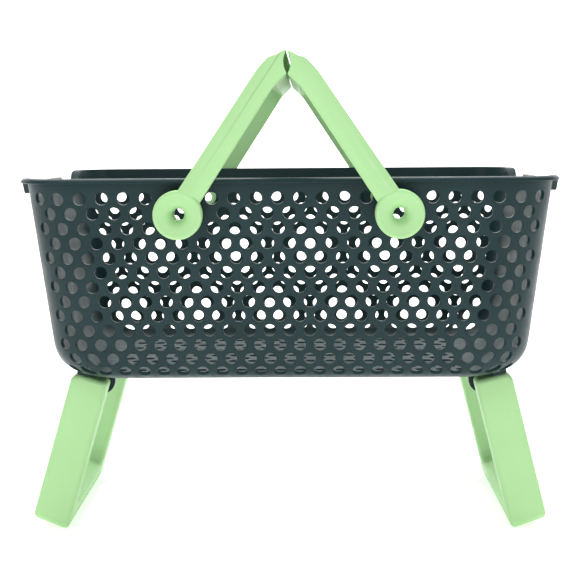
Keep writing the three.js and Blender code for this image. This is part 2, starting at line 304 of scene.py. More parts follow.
def noise(tree, coordinates, scale, detail=2.0, roughness=0.5):
    """A noise value at each place."""
    made = node(tree, "ShaderNodeTexNoise", Scale=scale, Detail=detail, Roughness=roughness)
    tree.links.new(coordinates, made.inputs["Vector"])
    return made.outputs["Fac"]


def spread(tree, value, low, high):
    """Maps a noise value, which stays near the middle of 0 to 1, to a range."""
    made = node(tree, "ShaderNodeMapRange")
    for key, number in {"From Min": 0.3, "From Max": 0.7, "To Min": low, "To Max": high}.items():
        made.inputs[key].default_value = number
    tree.links.new(value, made.inputs["Value"])
    return made.outputs["Result"]


def plastic(name, dark, light, worn, roughness, grain, specular=0.5):
    """Satin moulded plastic: cloudy colour, a fine eroded grain, soft flow marks and paler worn edges."""
    material = bpy.data.materials.new(name)
    material.use_nodes = True
    tree = material.node_tree
    shader = tree.nodes["Principled BSDF"]
    shader.inputs["Specular IOR Level"].default_value = specular
    place = node(tree, "ShaderNodeTexCoord").outputs["Object"]
    cloud = noise(tree, place, 14, detail=3)
    speckle = noise(tree, place, 420, detail=2)

    tone = node(tree, "ShaderNodeMix", data_type="RGBA")
    tone.inputs["A"].default_value = (*dark, 1)
    tone.inputs["B"].default_value = (*light, 1)
    tree.links.new(spread(tree, cloud, 0, 1), tone.inputs["Factor"])

    edge = node(tree, "ShaderNodeNewGeometry").outputs["Pointiness"]
    wear = node(tree, "ShaderNodeMapRange")
    for key, number in {"From Min": 0.53, "From Max": 0.66, "To Min": 0.0, "To Max": 0.35}.items():
        wear.inputs[key].default_value = number
    tree.links.new(edge, wear.inputs["Value"])
    rubbed = node(tree, "ShaderNodeMath", operation="MULTIPLY")
    tree.links.new(wear.outputs["Result"], rubbed.inputs[0])
    tree.links.new(spread(tree, noise(tree, place, 60, detail=4), 0.2, 1.0), rubbed.inputs[1])
    surface = node(tree, "ShaderNodeMix", data_type="RGBA")
    surface.inputs["B"].default_value = (*worn, 1)
    tree.links.new(tone.outputs["Result"], surface.inputs["A"])
    tree.links.new(rubbed.outputs["Value"], surface.inputs["Factor"])
    tree.links.new(surface.outputs["Result"], shader.inputs["Base Color"])

    gloss = spread(tree, noise(tree, place, 55, detail=4), roughness - 0.05, roughness + 0.06)
    tree.links.new(gloss, shader.inputs["Roughness"])

    flow = node(tree, "ShaderNodeBump", Strength=0.12, Distance=0.0012)
    tree.links.new(cloud, flow.inputs["Height"])
    fine = node(tree, "ShaderNodeBump", Strength=grain, Distance=0.00012)
    tree.links.new(speckle, fine.inputs["Height"])
    tree.links.new(flow.outputs["Normal"], fine.inputs["Normal"])
    tree.links.new(fine.outputs["Normal"], shader.inputs["Normal"])
    return material


slate = plastic(
    "slate",
    dark=(0.010, 0.029, 0.031),
    light=(0.014, 0.037, 0.040),
    worn=(0.04, 0.07, 0.075),
    roughness=0.38,
    grain=0.35,
    specular=0.2,
)
mint = plastic(
    "mint",
    dark=(0.41, 0.69, 0.325),
    light=(0.435, 0.72, 0.35),
    worn=(0.55, 0.82, 0.48),
    roughness=0.5,
    grain=0.30,
    specular=0.12,
)
pin_plastic = plastic(
    "pin",
    dark=(0.012, 0.019, 0.020),
    light=(0.017, 0.026, 0.027),
    worn=(0.04, 0.05, 0.05),
    roughness=0.34,
    grain=0.25,
)


# ---- The tub's surface: a place is given by its quarter, the distance round from the middle of the long
# side, the distance down the wall from the rim, and the depth into the wall
def edge_inset(radius, z, depth):
    """How far in a wall is at a height, with its lower edge rounded."""
    centre_z = FLOOR_UNDERSIDE + radius
    arc_radius = radius - depth
    turn = np.arccos(np.clip((centre_z - z) / arc_radius, -1, 1))
    centre_inset = (RIM_TOP - centre_z) * DRAFT + radius * SLOPE
    straight = (RIM_TOP - z) * DRAFT + depth * SLOPE
    return np.where(turn >= LAST_TURN, straight, centre_inset - arc_radius * np.sin(turn))


def side_section(down):
    """The height of a place down a long wall's outer face, its inset, and its turn from the flat floor."""
    centre_z = FLOOR_UNDERSIDE + SIDE_EDGE_RADIUS
    tangent_z = centre_z - SIDE_EDGE_RADIUS * math.cos(LAST_TURN)
    straight_length = (RIM_TOP - tangent_z) * SLOPE
    turn = np.clip(LAST_TURN - (down - straight_length) / SIDE_EDGE_RADIUS, 0, LAST_TURN)
    centre_inset = (RIM_TOP - centre_z) * DRAFT + SIDE_EDGE_RADIUS * SLOPE
    on_wall = down <= straight_length
    z = np.where(on_wall, RIM_TOP - down / SLOPE, centre_z - SIDE_EDGE_RADIUS * np.cos(turn))
    wall_inset = (RIM_TOP - z) * DRAFT
    inset = np.where(on_wall, wall_inset, centre_inset - SIDE_EDGE_RADIUS * np.sin(turn))
    return z, inset, turn


FLOOR_START = (
    RIM_TOP - FLOOR_UNDERSIDE - SIDE_EDGE_RADIUS * (1 - math.cos(LAST_TURN))
) * SLOPE + SIDE_EDGE_RADIUS * LAST_TURN


def straights(down):
    """Half of the straight part of a long side and of an end, at a distance down the wall."""
    z, inset, _ = side_section(down)
    return HALF_LENGTH - edge_inset(END_EDGE_RADIUS, z, 0) - CORNER, HALF_DEPTH - inset - CORNER


def round_the_tub(pitch, down):
    """The distance round from the middle of the long side to a place counted in pitches, in one quarter."""
    side, end = straights(down)
    widest = HALF_LENGTH - CORNER - DRAFT * down / SLOPE
    total = side + CORNER * math.pi / 2 + end
    past = (pitch - SIDE_PITCHES) / (QUARTER - SIDE_PITCHES)
    return np.where(past < 0, widest * pitch / SIDE_PITCHES, widest + past * (total - widest))


def same_bearing(along, from_down, to_down):
    """The distance round, at another height, of a place that lies straight above or below a given one."""
    side_here, end_here = straights(from_down)
    side_there, end_there = straights(to_down)
    on_corner = along > side_here
    on_end = along > side_here + CORNER * math.pi / 2
    return along + on_corner * (side_there - side_here) + on_end * (end_there - end_here)


def quarter_of(pitch):
    """Which quarter of the tub a place round it is in, and its pitch counted from the long side's middle."""
    turn = pitch % PITCHES
    quarter = int(turn // QUARTER)
    within = turn - QUARTER * quarter
    return quarter, QUARTER - within if quarter % 2 else within


def smooth(value, start, end):
    """A share from 0 to 1 of the way between two values, which starts and stops gently."""
    share = np.clip((value - start) / (end - start), 0, 1)
    return share * share * (3 - 2 * share)


def dip(share):
    """How far the rim is lowered, by the share of an end's straight half that is left to its middle."""
    return END_DIP * (1 - smooth(share, DIP_END, 1))


def rest(share):
    """How far the low seat in the middle of an end lifts the rim, by the same share."""
    return REST_HEIGHT * (1 - smooth(share, REST_TO, REST_FROM))


def end_share(along, down):
    """1 at the corner of an end, 0 in its middle, and more than 1 on the corner and the long side."""
    side, end = straights(down)
    left = side + CORNER * math.pi / 2 + end - along
    return np.abs(left) / end


def signs(quarter):
    """The signs of X and Y in a quarter of the tub."""
    return np.where((quarter == 0) | (quarter == 1), 1, -1), np.where((quarter == 1) | (quarter == 2), 1, -1)


def plan(quarter, along, side, end, corner, ratio_x, ratio_y, grow):
    """The X and Y of a place on a ring of the tub, which may be grown outwards or drawn in."""
    angle = np.clip((along - side) / CORNER, 0, math.pi / 2)
    on_side = along <= side
    on_end = along >= side + CORNER * math.pi / 2
    left = side + CORNER * math.pi / 2 + end - along
    radius = corner + grow
    x = np.where(on_side, along * ratio_x, side * ratio_x + radius * np.sin(angle))
    y = np.where(on_end, left * ratio_y, end * ratio_y + radius * np.cos(angle))
    sign_x, sign_y = signs(quarter)
    return sign_x * x, sign_y * y


def shell_points(places):
    """Points of the tub's skins, from rows of quarter, distance round, distance down, and depth."""
    quarter, along, down, depth = np.array(places, float).T
    top_of_row_one = FIRST_ROW + ROW_SPACING / 2
    under_flange = FLANGE_HEIGHT * SLOPE
    pull = np.clip((top_of_row_one - down) / (top_of_row_one - under_flange), 0, 1)
    share = end_share(along, down)
    lowered = down + dip(share) * pull * SLOPE
    along = same_bearing(along, down, lowered)
    z, inset, turn = side_section(lowered)
    side, end = straights(lowered)
    inner_z = z + depth * np.cos(turn)
    inner_corner = CORNER - depth * np.sin(turn)
    inner_side = HALF_LENGTH - edge_inset(END_EDGE_RADIUS, inner_z, depth) - inner_corner
    inner_end = HALF_DEPTH - inset - depth * np.sin(turn) - inner_corner
    x, y = plan(quarter, along, side, end, inner_corner, inner_side / side, inner_end / end, 0)
    return np.stack([x, y, inner_z], axis=1)


def rim_points(places):
    """Points of the rim, from rows of quarter, distance round, inset, drop below the rim's top, and lift.

    The lift is 1 where the seat at the middle of an end raises the rim, and 0 elsewhere.
    """
    quarter, along, inset, below, lifted = np.array(places, float).T
    side, end = straights(np.zeros(len(along)))
    share = end_share(along, np.zeros(len(along)))
    x, y = plan(quarter, along, side, end, CORNER, 1.0, 1.0, -inset)
    z = RIM_TOP - below - dip(share) + rest(share) * lifted
    return np.stack([x, y, z], axis=1)


class Surface:
    """Collects the tub's vertices by kind and its faces by vertex number."""

    def __init__(self):
        self.count = 0
        self.places = {"shell": [], "rim": [], "point": []}
        self.numbers = {"shell": [], "rim": [], "point": []}
        self.faces = []
        self.known = {}

    def add(self, kind, place):
        self.places[kind].append(place)
        self.numbers[kind].append(self.count)
        self.count += 1
        return self.count - 1

    def grid(self, column, level, depth):
        """The vertex where a column of the walls' grid crosses one of its levels."""
        key = (column % COLUMNS, level, depth)
        if key not in self.known:
            quarter, pitch = quarter_of(key[0] / CELL_STEPS)
            down = line_down(level / CELL_SIDE_STEPS)
            self.known[key] = self.add("shell", (quarter, round_the_tub(pitch, down), down, depth))
        return self.known[key]

    def points(self):
        made = np.zeros((self.count, 3))
        makers = {"shell": shell_points, "rim": rim_points, "point": np.array}
        for kind, maker in makers.items():
            if self.places[kind]:
                made[self.numbers[kind]] = maker(self.places[kind])
        return made

    def strip(self, first, second):
        """Quads between two closed loops of the same length."""
        for i in range(len(first)):
            after = (i + 1) % len(first)
            self.faces.append((first[i], first[after], second[after], second[i]))

    def fan(self, loop, centre):
        """Triangles from a loop to a vertex in its middle."""
        for i in range(len(loop)):
            self.faces.append((loop[i], loop[(i + 1) % len(loop)], centre))


def line_down(line):
    """How far down the wall a line is. Line 0 is above the first row of holes, and line 1 below it."""
    return FIRST_ROW + (line - 0.5) * ROW_SPACING


def cell_loop(surface, row, left, right, depth):
    """The vertices round a cell of a row, between two grid columns."""
    high, low = row * CELL_SIDE_STEPS, (row + 1) * CELL_SIDE_STEPS
    top = [surface.grid(column, high, depth) for column in range(left, right)]
    right_side = [surface.grid(right, level, depth) for level in range(high, low)]
    bottom = [surface.grid(column, low, depth) for column in range(right, left, -1)]
    left_side = [surface.grid(left, level, depth) for level in range(low, high, -1)]
    return top + right_side + bottom + left_side


def hole_ring(surface, centre_pitch, row, radius, depth):
    """The vertices of a hole's rim on one skin, in the order of its cell's."""
    quarter, pitch = quarter_of(centre_pitch)
    middle = line_down(row + 0.5)
    along = float(round_the_tub(pitch, middle))
    reversed_quarter = -1 if quarter % 2 else 1
    ring = []
    for across, drop in cell_directions():
        down = middle + radius * drop
        here = float(same_bearing(along, middle, down)) + reversed_quarter * radius * across
        ring.append(surface.add("shell", (quarter, here, down, depth)))
    return ring


def cell_directions():
    """Unit steps across and down from a cell's centre, one for each vertex of cell_loop."""
    turns = []
    corner = math.atan2(ROW_SPACING, CELL_WIDTH)
    spans = [
        (-math.pi + corner, -corner, CELL_STEPS),
        (-corner, corner, CELL_SIDE_STEPS),
        (corner, math.pi - corner, CELL_STEPS),
        (math.pi - corner, math.pi + corner, CELL_SIDE_STEPS),
    ]
    for start, end, steps in spans:
        turns += [start + (end - start) * i / steps for i in range(steps)]
    return [(math.cos(turn), math.sin(turn)) for turn in turns]


PIVOTS = {  # the pitch of each pivot's middle, and its signs of X and Y
    PIVOT_PITCH: (1, -1),
    PITCHES / 2 - PIVOT_PITCH: (1, 1),
    PITCHES / 2 + PIVOT_PITCH: (-1, 1),
    PITCHES - PIVOT_PITCH: (-1, -1),
}


def near_pivot(centre_pitch, row):
    """Whether a cell is one of the seven that a pivot pad takes up."""
    reach = {0: 0.6, 1: 1.1, 2: 0.6}.get(row)
    return reach is not None and any(abs(centre_pitch - pivot) < reach for pivot in PIVOTS)


def add_plain_cell(surface, row, left, right):
    """A cell without a hole, as a grid of quads on each skin."""
    for depth in (0, WALL):
        for level in range(row * CELL_SIDE_STEPS, (row + 1) * CELL_SIDE_STEPS):
            for column in range(left, right):
                corners = [(column, level), (column + 1, level)]
                corners += [(column + 1, level + 1), (column, level + 1)]
                surface.faces.append(tuple(surface.grid(*corner, depth) for corner in corners))


def perforate_walls(surface):
    """The walls' two skins, with the staggered rows of holes through them."""
    half = CELL_STEPS // 2
    for row in range(HOLE_ROWS):
        for column in range(PITCHES):
            centre = column + (0 if row % 2 else 0.5)
            if near_pivot(centre, row):
                continue
            middle = round(centre * CELL_STEPS)
            if quarter_of(centre)[1] > LAST_HOLE_PITCH:
                add_plain_cell(surface, row, middle - half, middle + half)
                continue
            outer = cell_loop(surface, row, middle - half, middle + half, 0)
            inner = cell_loop(surface, row, middle - half, middle + half, WALL)
            mouth = hole_ring(surface, centre, row, HOLE_RADIUS + HOLE_ROUNDING, 0)
            throat = hole_ring(surface, centre, row, HOLE_RADIUS, HOLE_ROUNDING)
            inside = hole_ring(surface, centre, row, HOLE_RADIUS, WALL)
            for first, second in ((outer, mouth), (mouth, throat), (throat, inside), (inside, inner)):
                surface.strip(first, second)


def pad_outline(surface, pivot, depth):
    """The edge of the seven cells that a pivot pad takes up: two, three and two of them, row by row."""
    centre = round(pivot * CELL_STEPS)
    narrow, wide = CELL_STEPS, CELL_STEPS + CELL_STEPS // 2
    lines = [row * CELL_SIDE_STEPS for row in range(4)]
    corners = [(-narrow, lines[0]), (narrow, lines[0]), (narrow, lines[1]), (wide, lines[1])]
    corners += [(wide, lines[2]), (narrow, lines[2]), (narrow, lines[3])]
    corners += [(-narrow, lines[3]), (-narrow, lines[2]), (-wide, lines[2]), (-wide, lines[1])]
    corners.append((-narrow, lines[1]))
    loop = []
    for (column, level), (next_column, next_level) in zip(corners, corners[1:] + corners[:1]):
        steps = max(abs(next_column - column), abs(next_level - level))
        for step in range(steps):
            across = column + (next_column - column) * step // steps
            loop.append(surface.grid(centre + across, level + (next_level - level) * step // steps, depth))
    return loop


def add_pads(surface):
    """The solid pads with the bores that the handles' hubs run in."""
    outer_rings = [  # radius and Y, from the pad's foot outside, over it, through the bore and out inside
        (PAD_RADIUS, HALF_DEPTH - (RIM_TOP - HANDLE_PIVOT_Z) * DRAFT + PAD_FILLET + PAD_FOOT),
        (PAD_RADIUS, PAD_OUTER_Y - PAD_ROUNDING),
        (PAD_RADIUS - PAD_ROUNDING, PAD_OUTER_Y),
        (HUB_HOLE_RADIUS + PAD_ROUNDING, PAD_OUTER_Y),
        (HUB_HOLE_RADIUS, PAD_OUTER_Y - PAD_ROUNDING),
        (HUB_HOLE_RADIUS, PAD_INNER_Y + PAD_ROUNDING),
        (HUB_HOLE_RADIUS + PAD_ROUNDING, PAD_INNER_Y),
        (PAD_RADIUS - PAD_ROUNDING, PAD_INNER_Y),
    ]
    for pivot, (sign_x, sign_y) in PIVOTS.items():
        outline = pad_outline(surface, pivot, 0)
        inner_outline = pad_outline(surface, pivot, WALL)
        positions = surface.points()[outline]
        centre = np.array([sign_x * HANDLE_PIVOT_X, HANDLE_PIVOT_Z])
        angles = np.arctan2(positions[:, 2] - centre[1], positions[:, 0] - centre[0])
        loops = [outline, wall_ring(surface, centre, angles, sign_y, PAD_RADIUS + PAD_FILLET, 0)]
        for radius, y in outer_rings:
            loops.append(
                [
                    surface.add(
                        "point",
                        (centre[0] + radius * math.cos(a), sign_y * y, centre[1] + radius * math.sin(a)),
                    )
                    for a in angles
                ]
            )
        loops.append(wall_ring(surface, centre, angles, sign_y, PAD_RADIUS + PAD_FILLET / 2, WALL))
        loops.append(inner_outline)
        for first, second in zip(loops, loops[1:]):
            surface.strip(first, second)


def wall_ring(surface, centre, angles, sign_y, radius, depth):
    """A ring on a long wall's skin, at a radius round a pivot."""
    ring = []
    for angle in angles:
        x, z = centre[0] + radius * math.cos(angle), centre[1] + radius * math.sin(angle)
        y = HALF_DEPTH - (RIM_TOP - z) * DRAFT - depth * SLOPE
        ring.append(surface.add("point", (x, sign_y * y, z)))
    return ring


def close_rim(surface):
    """The flange with rounded edges, from under it on the outside to the top of the wall inside."""
    below = FLANGE_HEIGHT
    profile = [  # inset, height below the rim's top, and whether the rests lift it
        (0.5, below, 0),
        (0.8 - FLANGE_REACH, below, 0),
        (0.2 - FLANGE_REACH, below - 0.25, 0),
        (-FLANGE_REACH, below - 0.8, 0),
        (0.2 - FLANGE_REACH, 2.8, 1),
        (0.8 - FLANGE_REACH, 1.7, 1),
        (1.6 - FLANGE_REACH, 0.9, 1),
        (2.6 - FLANGE_REACH, 0.3, 1),
        (3.8 - FLANGE_REACH, 0, 1),
        (WALL - 1.0, 0, 1),
        (WALL - 0.3, 0.3, 1),
        (WALL, 1.0, 1),
    ]
    rings = [[surface.grid(column, 0, 0) for column in range(COLUMNS)]]
    for place in profile:
        ring = []
        for column in range(COLUMNS):
            quarter, pitch = quarter_of(column / CELL_STEPS)
            ring.append(surface.add("rim", (quarter, float(round_the_tub(pitch, 0.0)), *place)))
        rings.append(ring)
    rings.append([surface.grid(column, 0, WALL) for column in range(COLUMNS)])
    for upper, lower in zip(rings, rings[1:]):
        surface.strip(upper, lower)


def bottom_ring(surface, down, depth):
    """A ring round the tub below the last row of holes."""
    ring = []
    for column in range(COLUMNS):
        quarter, pitch = quarter_of(column / CELL_STEPS)
        ring.append(surface.add("shell", (quarter, float(round_the_tub(pitch, down)), down, depth)))
    return ring


def floor_grid(surface, known, column, row, z):
    """A vertex of the floor's grid, with its columns and rows counted in steps."""
    key = (column, row, z)
    if key not in known:
        x = (column / CELL_STEPS - FLOOR_COLUMNS / 2) * FLOOR_PITCH
        y = (row / CELL_SIDE_STEPS - FLOOR_ROWS / 2) * FLOOR_ROW_SPACING
        known[key] = surface.add("point", (x, y, z))
    return known[key]


def floor_cell(surface, known, left, right, row, z):
    """The vertices round a cell of the floor's grid."""
    low, high = row * CELL_SIDE_STEPS, (row + 1) * CELL_SIDE_STEPS
    loop = [floor_grid(surface, known, c, low, z) for c in range(left, right)]
    loop += [floor_grid(surface, known, right, r, z) for r in range(low, high)]
    loop += [floor_grid(surface, known, c, high, z) for c in range(right, left, -1)]
    loop += [floor_grid(surface, known, left, r, z) for r in range(high, low, -1)]
    return loop


def perforate_floor(surface):
    """The floor's holes, in staggered rows, through both of its skins."""
    known = {}
    levels = (FLOOR_UNDERSIDE, FLOOR_UNDERSIDE + WALL)
    last = FLOOR_COLUMNS * CELL_STEPS
    half = CELL_STEPS // 2
    for row in range(FLOOR_ROWS):
        offset = half if row % 2 else 0
        edges = [0, *range(offset, last + 1, CELL_STEPS), last]
        for left, right in zip(edges, edges[1:]):
            if left == right:
                continue
            loops = [floor_cell(surface, known, left, right, row, z) for z in levels]
            x = ((left + right) / 2 / CELL_STEPS - FLOOR_COLUMNS / 2) * FLOOR_PITCH
            y = (row + 0.5 - FLOOR_ROWS / 2) * FLOOR_ROW_SPACING
            if right - left < CELL_STEPS:
                for loop, z in zip(loops, levels):
                    surface.fan(loop, surface.add("point", (x, y, z)))
                continue
            rings = [
                [
                    surface.add("point", (x + HOLE_RADIUS * across, y + HOLE_RADIUS * drop, z))
                    for across, drop in cell_directions()
                ]
                for z in levels
            ]
            surface.strip(loops[0], rings[0])
            surface.strip(rings[0], rings[1])
            surface.strip(rings[1], loops[1])
    rows = FLOOR_ROWS * CELL_SIDE_STEPS
    rims = []
    for z in levels:
        rim = [floor_grid(surface, known, c, 0, z) for c in range(last // 2, last)]
        rim += [floor_grid(surface, known, last, r, z) for r in range(rows)]
        rim += [floor_grid(surface, known, c, rows, z) for c in range(last, 0, -1)]
        rim += [floor_grid(surface, known, 0, r, z) for r in range(rows, 0, -1)]
        rim += [floor_grid(surface, known, c, 0, z) for c in range(last // 2)]
        rims.append(rim)
    return rims


def stitch(surface, first, second):
    """Triangles between two loops that run the same way from the middle of the front side."""
    points = surface.points()

    def bearings(loop):
        turns = np.arctan2(points[loop, 0], -points[loop, 1]) % (2 * math.pi)
        turns[0] = 0
        return [*turns, 2 * math.pi]

    turn_one, turn_two = bearings(first), bearings(second)
    i = j = 0
    while i < len(first) or j < len(second):
        here, there = first[i % len(first)], second[j % len(second)]
        if j == len(second) or (i < len(first) and turn_one[i + 1] <= turn_two[j + 1]):
            i += 1
            surface.faces.append((here, first[i % len(first)], there))
        else:
            j += 1
            surface.faces.append((here, second[j % len(second)], there))


def close_bottom(surface):
    """The solid lower edge, from the last row of holes in to the floor's holes."""
    floor_rims = perforate_floor(surface)
    last_line = line_down(HOLE_ROWS)
    for depth, floor_rim in ((0, floor_rims[0]), (WALL, floor_rims[1])):
        rings = [[surface.grid(column, HOLE_ROWS * CELL_SIDE_STEPS, depth) for column in range(COLUMNS)]]
        for share in (0.5, 1.0):
            down = last_line + share * (FLOOR_START - last_line)
            rings.append(bottom_ring(surface, down, depth))
        for upper, lower in zip(rings, rings[1:]):
            surface.strip(upper, lower)
        stitch(surface, rings[-1], floor_rim)


def make_tub():
    """The tub's walls, pads, rim and floor as one closed surface."""
    surface = Surface()
    perforate_walls(surface)
    add_pads(surface)
    close_rim(surface)
    close_bottom(surface)
    return make_object("basket_tub", surface.points(), surface.faces, [slate])


# ---- Lugs and stops under the floor
def leg_point(end, out, down, lift=0.0):
    """A point of the leg at one end, in the basket's frame, from its place out and down from the pivot."""
    splay = LEG_SPLAYS["left" if end < 0 else "right"]
    x = LEG_PIVOT_X + out * math.cos(splay) + down * math.sin(splay)
    z = LEG_PIVOT_Z + out * math.sin(splay) - down * math.cos(splay)
    return end * x, z + lift


def make_lug(end, side):
    """A hinge lug under the floor, with the hole that a leg's pin runs in."""
    outer = side * (POST_INSIDE_Y - LUG_GAP)
    inner = side * (POST_INSIDE_Y - LUG_GAP - LUG_THICKNESS)
    pivot = (end * LEG_PIVOT_X, LEG_PIVOT_Z)
    round_end = arc(pivot, LUG_RADIUS, 180, 360, 24)
    flared = LUG_RADIUS + LUG_FLARE
    root = [(pivot[0] + flared, LUG_ROOT_Z), (pivot[0] - flared, LUG_ROOT_Z)]
    neck_z = FLOOR_UNDERSIDE - LUG_FLARE
    neck = [(pivot[0] + LUG_RADIUS, neck_z), *root, (pivot[0] - LUG_RADIUS, neck_z)]
    lug = extruded("lug", round_end + neck, ("x", "z"), outer, inner, [slate])
    hole = PIN_RADIUS + RUNNING_GAP
    profile = [(0, outer * 1.2), (hole, outer * 1.2), (hole, inner * 0.8), (0, inner * 0.8)]
    combine(lug, turned("hole", profile, *pivot, [slate], 40), "DIFFERENCE")
    merge_flat(lug)
    round_edges(lug, LUG_ROUNDING, 2)
    return lug


def make_stop(end, side):
    """The block under the floor that an open leg's post leans against."""
    inner = leg_point(end, STOP_START, -LEG_ABOVE_PIVOT, RUNNING_GAP)
    outer = leg_point(end, STOP_END, -LEG_ABOVE_PIVOT, RUNNING_GAP)
    corners = [inner, outer, (outer[0], STOP_ROOT_Z[1]), (inner[0], STOP_ROOT_Z[0])]
    ends = side * (LEG_HALF_DEPTH - 1), side * (POST_INSIDE_Y + 1)
    stop = extruded("stop", corners, ("x", "z"), *ends, [slate])
    round_edges(stop, STOP_ROUNDING, 2)
    return stop


# ---- Handles, made upright with the pivot on the origin and the other handle on the +X side
def upright(x, z):
    """A place in the basket's own directions, turned into those of a leaning handle."""
    return (
        x * math.cos(CUT_LEAN) - z * math.sin(CUT_LEAN),
        x * math.sin(CUT_LEAN) + z * math.cos(CUT_LEAN),
    )


def arm_outline():
    """The outline of an arm and of the grip's end, in X and Z."""
    reach = HANDLE_PIVOT_X - FACING_GAP
    tip_z = HANDLE_TIP_Z - HANDLE_PIVOT_Z
    points = [(ARM_INNER_SIDE, 0), (-ARM_OUTER_SIDE, 0), *SHOULDER]
    for step in range(FACING_STEPS + 1):
        share = step / FACING_STEPS
        hollow = 4 * share * (1 - share) * FACING_HOLLOW
        points.append(upright(reach - hollow, tip_z - share * FACING_HEIGHT))
    points.append(ARM_FLARE)
    return points


def crown_outline():
    """The crowned outer faces of the arms, in X and Y."""
    face = [(x, ARM_OUTER_Y - behind) for x, behind in ARM_CROWN]
    return face + [(x, -y) for x, y in reversed(face)]


def bow_outline():
    """The U of two arms and a grip, in Y and Z, with a rounded top and fillets under the grip."""
    top = HANDLE_TIP_Z - HANDLE_PIVOT_Z + CUT_BELOW
    inner = arc((ARM_INNER_Y - GRIP_FILLET, GRIP_START - GRIP_FILLET), GRIP_FILLET, 0, 90, 8)
    points = [(ARM_OUTER_Y, -1), (ARM_OUTER_Y, top), (-ARM_OUTER_Y, top), (-ARM_OUTER_Y, -1)]
    points += [(-ARM_INNER_Y, -1), *((-y, z) for y, z in inner)]
    points += list(reversed(inner))
    points.append((ARM_INNER_Y, -1))
    return points


def make_handle(side):
    """One handle: arms and grip cut to shape, round bosses, and hollow hubs with lips that snap behind the
    pads.
    """
    handle = extruded(
        f"{side}_carrying_handle", arm_outline(), ("x", "z"), -ARM_OUTER_Y, ARM_OUTER_Y, [mint]
    )
    combine(handle, extruded("bow", bow_outline(), ("y", "z"), -CUT_BELOW, CUT_ABOVE, [mint]), "INTERSECT")
    crown = extruded("crown", crown_outline(), ("x", "y"), -CUT_BELOW, CROWN_TOP, [mint])
    combine(handle, crown, "INTERSECT")
    merge_flat(handle)
    round_edges(handle, HANDLE_ROUNDING, 5, limited=False)
    for sign in SIDES:
        combine(handle, turned("boss", boss_profile(sign), 0, 0, [mint], 72), "UNION")
    for sign in SIDES:
        combine(handle, turned("hub", hub_profile(sign), 0, 0, [mint]), "UNION")
        combine(handle, turned("bore", bore_profile(sign), 0, 0, [mint]), "DIFFERENCE")
    shade(handle)
    place = Matrix.Translation((-HANDLE_PIVOT_X * MM, 0, HANDLE_PIVOT_Z * MM))
    lean = Matrix.Rotation(HANDLE_LEANS[side], 4, "Y")
    turn = Matrix.Rotation(math.pi if side == "right" else 0, 4, "Z")
    handle.data.transform(turn @ place @ lean)
    return handle


def boss_profile(sign):
    """A round boss with soft edges, as radius and place along the pivot."""
    core, middle = HUB_BORE_RADIUS - 0.5, BOSS_RADIUS - BOSS_ROUNDING
    profile = [(core, ARM_OUTER_Y)]
    profile += arc((middle, ARM_OUTER_Y - BOSS_ROUNDING), BOSS_ROUNDING, 90, 0, 7)
    profile += [(BOSS_RADIUS, ARM_INNER_Y), (core, ARM_INNER_Y)]
    return [(radius, sign * y) for radius, y in profile]


def hub_profile(sign):
    """The hollow hub that snaps into the tub's bore, with a lip behind the pad."""
    lip_start = PAD_INNER_Y - RUNNING_GAP
    end = lip_start - HUB_LIP
    profile = [
        (HUB_BORE_RADIUS - 0.5, ARM_INNER_Y + 3),
        (HUB_RADIUS, ARM_INNER_Y + 3),
        (HUB_RADIUS, lip_start),
        (HUB_LIP_RADIUS, lip_start),
        (HUB_LIP_RADIUS, lip_start - 0.8),
        (HUB_RADIUS, end),
        (HUB_BORE_RADIUS - 0.5, end),
    ]
    return [(radius, sign * y) for radius, y in profile]


def bore_profile(sign):
    """The cutter for a shallow dish in the boss, a smooth funnel, and the bore behind it."""
    face, end = ARM_OUTER_Y, PAD_INNER_Y - BORE_PAST_PAD
    profile = [(0, face + 2), (DISH[0][0], face + 2)]
    profile += [(radius, face - depth) for radius, depth in DISH + FUNNEL]
    profile += [(HUB_BORE_RADIUS, face - FUNNEL_DEPTH), (HUB_BORE_RADIUS, end), (0, end)]
    return [(radius, sign * y) for radius, y in profile]


# ---- Legs, made upright with the pivot on the origin and outwards along +X
def leg_outline(length):
    """The U of two posts and a cross bar, in Y and Z."""
    half, gap = LEG_HALF_DEPTH, POST_INSIDE_Y
    bottom = -length
    bar_top = bottom + FOOT_STEP + CROSS_BAR
    right = [(gap, LEG_ABOVE_PIVOT), (half, LEG_ABOVE_PIVOT)]
    corner = (half - LEG_OUTER_RADIUS, bottom + LEG_OUTER_RADIUS)
    right += arc(corner, LEG_OUTER_RADIUS, 0, -90, 5)
    left = [(-y, z) for y, z in reversed(right)]
    inside = arc((-gap + LEG_INNER_RADIUS, bar_top + LEG_INNER_RADIUS), LEG_INNER_RADIUS, 180, 270, 7)
    inside += [(-y, z) for y, z in reversed(inside)]
    return right + left + inside


def leg_side_outline(length):
    """A post seen along the hinge, in X and Z, with a rounded shoulder away from the basket's middle."""
    inner, outer = LEG_INNER_FACE, LEG_INNER_FACE + LEG_WIDTH
    centre = (outer - LEG_SHOULDER_RADIUS, LEG_ABOVE_PIVOT - LEG_SHOULDER_RADIUS)
    shoulder = arc(centre, LEG_SHOULDER_RADIUS, 0, 90, 9)
    return [(inner, -2 * length), (outer, -2 * length), *shoulder, (inner, LEG_ABOVE_PIVOT)]


